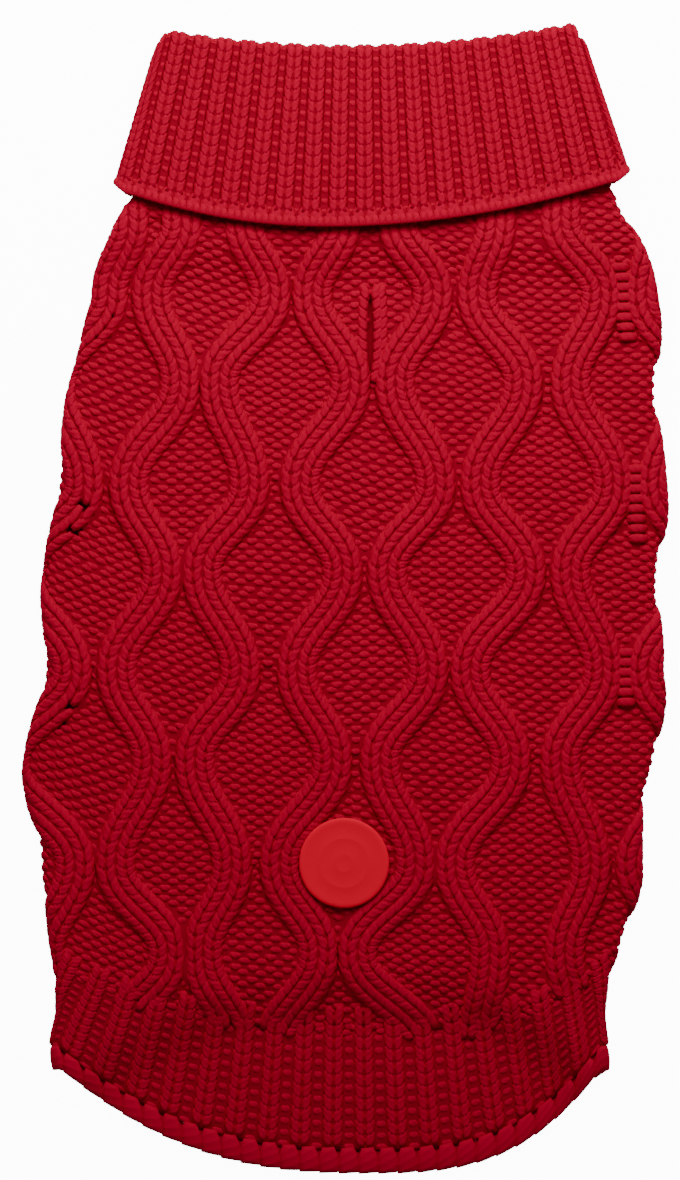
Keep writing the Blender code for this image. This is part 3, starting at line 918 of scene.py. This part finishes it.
def collar_relief(rib, down):
    """The rise of the collar's ribbed cloth: level in the plain band, and lower inside the neck."""
    edge = smooth_step((down - COLLAR_ROWS + COLLAR_EDGE_ROWS) / 0.5)
    relief = rib_relief(rib, COLLAR_WALE, COLLAR_VALLEY) * (1 - edge) + (RIDGE_RISE - 0.1) * edge
    return relief * np.where(down < -FOLD_ROWS, 0.4, 1.0)


def collar_place(rib, down, rise):
    rise = rise * np.where(down < -FOLD_ROWS, 0.5, 1.0)
    return on_collar(rib + COLLAR_PHASE, down, rise)


def make_collar():
    """The collar's cloth: down the turned-down face, over the fold and down inside to the neck seam."""
    ribs = np.arange(COLLAR_RIBS * 8) / 8
    downs = np.concatenate(
        [
            np.linspace(COLLAR_ROWS - 0.2, 0, 26)[:-1],
            np.linspace(0, -FOLD_ROWS, 9)[:-1],
            np.linspace(-FOLD_ROWS, -FOLD_ROWS - STAND_ROWS, 14),
        ]
    )[::-1]
    rib, down = np.meshgrid(ribs, downs)
    points = on_collar(rib + COLLAR_PHASE, down, collar_relief(rib, down))
    shell = make_shell("collar_cloth", points, BODY_CLOTH_IN_PAINTED_SHADE, RIB_CLOTH, closed=True)
    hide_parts("roll_collar")
    return shell


def make_collar_stitches():
    return rib_stitches(
        "collar_stitches",
        collar_place,
        collar_relief,
        np.arange(COLLAR_RIBS),
        np.arange(COLLAR_ROWS - 0.75, -FOLD_ROWS - 5, -1.0),
        pitch=8.3,
        course=3.65,
        wale=COLLAR_WALE,
        valley=COLLAR_VALLEY,
        widen=collar_widen,
        bump_depth=0.5,
    )


def edge_loops(name, place, starts, pitch_units, pitch, height, slant, thick):
    """The loops along an edge, each a fat strand down it. place turns (across, down, rise) into a point,
    down being 0 at the loops' tops and 1 at the edge; pitch_units and pitch are one loop's share and its
    size."""
    t = np.linspace(0, 1, 7)
    swell = np.sin(pi * (0.10 + 0.50 * t)) ** 0.5
    path = np.stack([slant * (t - 0.5), height * (0.5 - t), 0.35 * np.sin(pi * t)], 1)
    points, faces, marks = strand(path[::-1], thick * swell[::-1], 0.9 * swell[::-1], 8)
    across = starts[:, None] + points[None, :, 0] * pitch_units / pitch
    down = np.broadcast_to(0.5 - points[None, :, 1] / height, across.shape)
    placed = place(across, down, EDGE_RISE + points[None, :, 2])
    return make_piece(name, [(placed, faces, marks, tones(len(starts)))], BODY_YARN)


def make_collar_edge():
    """The small linked loops of the plain band."""

    def place(rib, down, rise):
        return on_collar(rib + COLLAR_PHASE, COLLAR_ROWS - 0.92 + 0.98 * down, rise)

    starts = np.arange(0.125, COLLAR_RIBS, 0.25)
    return edge_loops("collar_edge_loops", place, starts, 0.25, 2.07, 3.4, 0.5, 1.25)


# ---------------------------------------------------------------- the hem

# A rib's count, and where its valley is across the body at the hem's top and at its edge.
HEM_RIBS = (
    (-14, -137, -150),
    (-9, -87.5, -97.8),
    (0, 1.2, 1.2),
    (5, 50.4, 55.8),
    (8, 80, 83.4),
    (29, 290, 293),
)
HEM_BACK_ENDS = (-138.7, 131.7)  # across, the seams under the hem at the left and the right
HEM_WALE = 0.65
HEM_ROWS = 10.0
HEM_PITCH, HEM_COURSE = 10.2, 3.6
HEM_DIP = 0.85  # the rib's cloth is this much lower where it meets the edging
HEM_LOOPS = 58


def rib_across(rib, share):
    """Where a rib's valley is across the body, leaning outwards from the hem's top to its edge."""
    ribs, tops, lows = (np.array(column, float) for column in zip(*HEM_RIBS))
    top = np.interp(rib, ribs, tops)
    return top + (np.interp(rib, ribs, lows) - top) * share


def on_hem(rib, down, rise):
    """A place on the hem's rib: down counts rows from its top."""
    share = down / HEM_ROWS
    return on_row(RIB_Y + (EDGING_Y - RIB_Y) * share, rib_across(rib, share), rise)


def hem_relief(rib, down):
    """The rise of the hem's ribbed cloth, which dips in a row of holes above the edging."""
    dip = smooth_step((down - HEM_ROWS + 0.6) / 0.5)
    return rib_relief(rib, HEM_WALE, HEM_VALLEY) - HEM_DIP * dip


HEM_STEPS = {"back": 300, "belly": 90, "edging": 340}


def seam_to_seam(side_y, run):
    """Where a shell's columns stand across, between the two seams underneath: on the back, on the belly, or
    all the way round for the edging."""
    row = body_row(side_y)
    half_round = pi * TUBE_OUTER
    inner_left, inner_right = row["left"] + TUBE_OUTER, row["right"] - TUBE_OUTER
    lap = UNDER_LAP - TUBE_OUTER - SEAM / 2
    around = inner_right + half_round
    ends = {
        "back": (inner_left - half_round - lap, around + lap),
        "belly": (around + lap + SEAM, around + inner_right - inner_left - lap - SEAM),
        "edging": (inner_left - half_round - lap, around + inner_right - inner_left - lap),
    }
    start, end = ends[run]
    steps = HEM_STEPS[run]
    return start[:, None] + (end - start)[:, None] * np.arange(steps + 1) / steps


def rib_at(across, share):
    """The rib count at a place across: rib_across the other way round."""
    ribs, tops, lows = (np.array(column, float) for column in zip(*HEM_RIBS))
    found = np.empty_like(across)
    for i in range(len(across)):
        marks = tops + (lows - tops) * share[i]
        found[i] = np.interp(across[i], marks, ribs)
    return found


def make_hem():
    """The hem's ribbed cloth, back and belly, and the cloth under its edging."""
    shells = []
    side_y = np.linspace(RIB_Y, EDGING_Y, 26)
    share = (side_y - RIB_Y) / (EDGING_Y - RIB_Y)
    for name, node, run in (
        ("hem_rib_back_cloth", "hem_rib_back", "back"),
        ("hem_rib_belly_cloth", "hem_rib_belly", "belly"),
    ):
        across = seam_to_seam(side_y, run)
        relief = hem_relief(rib_at(across, share), share[:, None] * HEM_ROWS)
        points = on_row(side_y[:, None], across, relief)
        shell = make_shell(name, points, BODY_CLOTH_IN_PAINTED_SHADE, RIB_CLOTH)
        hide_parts(node)
        shells.append(shell)
    side_y = np.linspace(EDGING_Y, HEM_Y + 0.4, 5)
    across = seam_to_seam(side_y, "edging")
    rise = np.array([-1.9, -1.2, -0.6, -0.5, -0.8])[:, None]
    points = on_row(side_y[:, None], across, rise)
    edging = make_shell("hem_edging_cloth", points[:, :-1], BODY_CLOTH_IN_PAINTED_SHADE, RIB_CLOTH, closed=True)
    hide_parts("hem_edging")
    return shells, edging


def on_back_hem(rib, down):
    """True where a rib's stitch is on the back's part of the hem."""
    across = rib_across(rib, down / HEM_ROWS)
    return (across > HEM_BACK_ENDS[0]) & (across < HEM_BACK_ENDS[1])


def make_hem_stitches():
    """The hem's rib, worked on the back and on the belly."""
    rows = np.arange(-0.85, HEM_ROWS - 0.8, 1.0)
    made = []
    for name, ribs, reach in (
        ("hem_rib_stitches", np.arange(-14, 13), on_back_hem),
        ("belly_rib_stitches", np.arange(13, 25), lambda rib, down: ~on_back_hem(rib, down)),
    ):
        made.append(
            rib_stitches(
                name,
                on_hem,
                hem_relief,
                ribs,
                rows,
                pitch=HEM_PITCH,
                course=HEM_COURSE,
                wale=HEM_WALE,
                valley=HEM_VALLEY,
                bump_depth=0.42,
                reach=reach,
            )
        )
    return made


def make_hem_edge():
    """The fat linked loops of the edging, all the way round."""
    row = body_row(np.array(HEM_Y))
    whole = 2 * (float(row["right"] - row["left"]) - 2 * TUBE_OUTER) + 2 * pi * TUBE_OUTER
    pitch = whole / HEM_LOOPS
    start = float(row["left"]) + TUBE_OUTER - pi * TUBE_OUTER - UNDER_LAP

    def place(across, down, rise):
        return on_row(EDGING_Y + 0.9 + (HEM_Y - EDGING_Y - 1.5) * down, across, rise)

    starts = start + np.arange(HEM_LOOPS) * pitch
    return edge_loops("hem_edge_loops", place, starts, pitch, pitch, 7.0, 0.5, 3.9)


# ---------------------------------------------------------------- the belly and the underside


def make_belly():
    """The belly's cloth, from seam to seam underneath."""
    side_y = np.linspace(NECK_Y, RIB_Y, 100)
    points = on_row(side_y[:, None], seam_to_seam(side_y, "belly"), GROUND_RISE)
    shell = make_shell("belly_cloth", points, BODY_CLOTH_IN_PAINTED_SHADE, leg_holes=True)
    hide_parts("belly_panel")
    return shell


def clear_of_legs(points):
    """True for the strands that stay off the leg holes and their bands."""
    middle = points.mean(axis=1)
    clear = np.ones(len(middle), bool)
    for centre in LEG_CENTRES.values():
        reach = (middle[:, :2] - centre) / (np.array(LEG_HOLE) + LEG_BAND + 1.2)
        clear &= np.hypot(reach[:, 0], reach[:, 1]) > 1
    return clear


def make_underside():
    """Plain stockinette all over the underside: on the back's laps, and on the belly."""
    right_leg = leg(WALE / 2, COURSE, rings=4, sides=4)
    side_y = np.arange(NECK_Y - 3, RIB_Y + 1, -COURSE)
    made = []
    for name, low, high in (
        ("back_lap_stitches", 0.5, UNDER_LAP - TUBE_OUTER - 1.5),
        ("belly_stitches", UNDER_LAP - TUBE_OUTER + 1.5, None),
    ):
        parts = []
        for stamp in (right_leg, mirrored(right_leg)):
            points, faces, marks = stamp
            for foot in side_y:
                row = body_row(np.array(foot))
                wide = float(row["right"] - row["left"]) - 2 * TUBE_OUTER
                edge = float(row["right"]) - TUBE_OUTER + pi * TUBE_OUTER
                reach = np.arange(1.5, wide, WALE)
                from_side = np.minimum(reach, wide - reach)
                if high is None:
                    reach = reach[from_side > low + 2]
                else:
                    reach = reach[(from_side > low) & (from_side < high - 2)]
                across = edge + reach[:, None] + points[None, :, 0]
                rise = GROUND_RISE + 0.1 + points[None, :, 2]
                placed = on_row(foot + points[None, :, 1], across, rise)
                limits = body_row(foot + points[:, 1])
                inside = placed[..., 0] > limits["left"] + 1.5
                inside &= placed[..., 0] < limits["right"] - 1.5
                placed = placed[clear_of_legs(placed) & inside.all(axis=1)]
                parts.append((placed, faces, marks, tones(len(placed))))
        made.append(make_piece(name, parts, BODY_YARN))
    return made


def make_leg_bands():
    """An oval rib round each leg hole, with its stitches fanning out."""
    made = []
    ribs = 22
    for name, centre in LEG_CENTRES.items():

        def on_band(rib, out, rise, centre=centre):
            angle = -2 * pi * rib / ribs
            share = np.clip(out, -0.02, 1.02)
            x = centre[0] + (LEG_HOLE[0] + LEG_BAND * share) * np.cos(angle)
            y = centre[1] + (LEG_HOLE[1] + LEG_BAND * share) * np.sin(angle)
            return np.stack([x, y, np.maximum(-rise + 0 * x, FLOOR_RISE)], axis=-1)

        rib, out = np.meshgrid(np.arange(ribs * 8) / 8, np.linspace(0.03, 0.97, 6))
        points = on_band(rib, out, -0.75 + 0 * rib)
        shell = make_shell(name + "_cloth", points, BODY_CLOTH_IN_PAINTED_SHADE, closed=True)
        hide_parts(name)
        stamp = leg(2.6, 3.4, rings=4, sides=4)
        parts = []
        for points, faces, marks in (stamp, mirrored(stamp)):
            rib, row = (g.ravel() for g in np.meshgrid(np.arange(ribs) + 0.5, (0.12, 0.56)))
            across = rib[:, None] + points[None, :, 0] / 7.2
            along = row[:, None] + points[None, :, 1] / LEG_BAND
            rise = -0.75 + points[None, :, 2]
            parts.append((on_band(across, along, rise), faces, marks, tones(len(rib))))
        yarn = make_piece(name + "_stitches", parts, BODY_YARN)
        made.append((shell, yarn))
    return made


# ---------------------------------------------------------------- the patch


def make_label():
    """The round patch: a smooth domed disc with a raised rim and two shallow moulded rings."""
    turns = 96
    profile = (
        (0.0, -0.06), (2.2, -0.06), (2.6, -0.02), (3.2, -0.02), (3.6, -0.07), (7.5, -0.08), (7.9, -0.03),
        (8.5, -0.03), (8.9, -0.08), (12.6, -0.08), (13.2, 0.0), (14.2, 0.02), (14.8, -0.12), (15.0, -0.40),
        (15.0, -1.0), (14.7, -1.38), (0.0, -1.38),
    )
    angle = 2 * pi * np.arange(turns) / turns
    places = []
    for reach, height in profile:
        x = LABEL_CENTRE[0] + reach * np.cos(angle)
        y = LABEL_CENTRE[1] + reach * np.sin(angle)
        base = on_back(x, y, np.full(turns, 0.0))
        base[:, 2] += SEAM + LABEL_WALL + height
        places.append(base)
    points = np.array(places)
    index = np.arange(len(profile) * turns).reshape(len(profile), turns)
    after = np.roll(index, -1, axis=1)
    quads = np.stack([index[:-1], index[1:], after[1:], after[:-1]], -1).reshape(-1, 4)
    mesh = bpy.data.meshes.new("round_patch")
    mesh.from_pydata(points.reshape(-1, 3) * MM, [], quads)
    bm = bmesh.new()
    bm.from_mesh(mesh)
    bmesh.ops.remove_doubles(bm, verts=bm.verts, dist=0.01 * MM)
    bmesh.ops.recalc_face_normals(bm, faces=bm.faces)
    bm.to_mesh(mesh)
    bm.free()
    mesh.shade_smooth()
    mesh.materials.append(patch_finish())
    patch = bpy.data.objects.new("round_patch", mesh)
    bpy.context.scene.collection.objects.link(patch)
    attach(patch, "root")
    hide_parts("round_label")
    return patch


# ---------------------------------------------------------------- studio


# Metres, watts and metres: a light's place, the place it shines at, its width and its power.
LIGHTS = {
    "key": ((0.03, 0.42, 0.40), (0, 0.11, 0), 0.5, 4.3),
    "fill": ((-0.1, 0.8, 0.90), (0, 0.08, 0), 0.9, 3.2),
}
ROOM_LIGHT = 0.18
FLOOR_Z, FLOOR_HALF, FLOOR_GLOW = -0.0001, 3.0, 12.0  # the floor looks white and lights nothing
VIEW_PLACE, VIEW_HEIGHT = (-0.00175, 0.003, 2.4), 0.3933  # straight above; the frame takes in this much
SENSOR = 36


def make_floor():
    """A plain white sheet of paper under the sweater."""
    mesh = bpy.data.meshes.new("floor")
    corners = [(x * FLOOR_HALF, y * FLOOR_HALF, FLOOR_Z) for x, y in ((-1, -1), (1, -1), (1, 1), (-1, 1))]
    mesh.from_pydata(corners, [], [(0, 1, 2, 3)])
    paper = bpy.data.materials.new("paper")
    paper.use_nodes = True
    shader = paper.node_tree.nodes["Principled BSDF"]
    shader.inputs["Base Color"].default_value = (0.9, 0.9, 0.9, 1)
    shader.inputs["Roughness"].default_value = 0.9
    shader.inputs["Emission Color"].default_value = (1, 1, 1, 1)
    seen = paper.node_tree.nodes.new("ShaderNodeLightPath").outputs["Is Camera Ray"]
    glow = maths(paper.node_tree, "MULTIPLY", seen, FLOOR_GLOW)
    paper.node_tree.links.new(glow, shader.inputs["Emission Strength"])
    mesh.materials.append(paper)
    floor = bpy.data.objects.new("floor", mesh)
    bpy.context.scene.collection.objects.link(floor)


def make_light(name, place, aim, size, power):
    """A square soft light that shines at a place."""
    data = bpy.data.lights.new(name, "AREA")
    data.size = size
    data.energy = power
    lamp = bpy.data.objects.new(name, data)
    lamp.location = place
    lamp.rotation_euler = (Vector(aim) - Vector(place)).to_track_quat("-Z", "Y").to_euler()
    bpy.context.scene.collection.objects.link(lamp)


def make_studio():
    """The floor, two soft lights near the collar's end, a dim room and the camera."""
    make_floor()
    for name, light in LIGHTS.items():
        make_light(name, *light)
    world = bpy.data.worlds.new("room")
    world.use_nodes = True
    background = world.node_tree.nodes["Background"]
    background.inputs["Color"].default_value = (1, 1, 1, 1)
    background.inputs["Strength"].default_value = ROOM_LIGHT
    bpy.context.scene.world = world
    data = bpy.data.cameras.new("camera")
    data.sensor_width = SENSOR
    data.sensor_fit = "AUTO"
    data.lens = SENSOR * VIEW_PLACE[2] / VIEW_HEIGHT
    camera = bpy.data.objects.new("camera", data)
    camera.location = VIEW_PLACE
    bpy.context.scene.collection.objects.link(camera)
    bpy.context.scene.camera = camera


back = make_back()
belly = make_belly()
cables = make_cables()
ground = make_ground()
ladders = make_ladders()
slit_lips = make_slit_lips()
back_laps, belly_yarn = make_underside()
collar = make_collar()
collar_yarn = make_collar_stitches()
collar_edge = make_collar_edge()
(hem_back, hem_belly), edging = make_hem()
hem_yarn, belly_rib_yarn = make_hem_stitches()
hem_edge = make_hem_edge()
leg_bands = make_leg_bands()
patch = make_label()
make_studio()
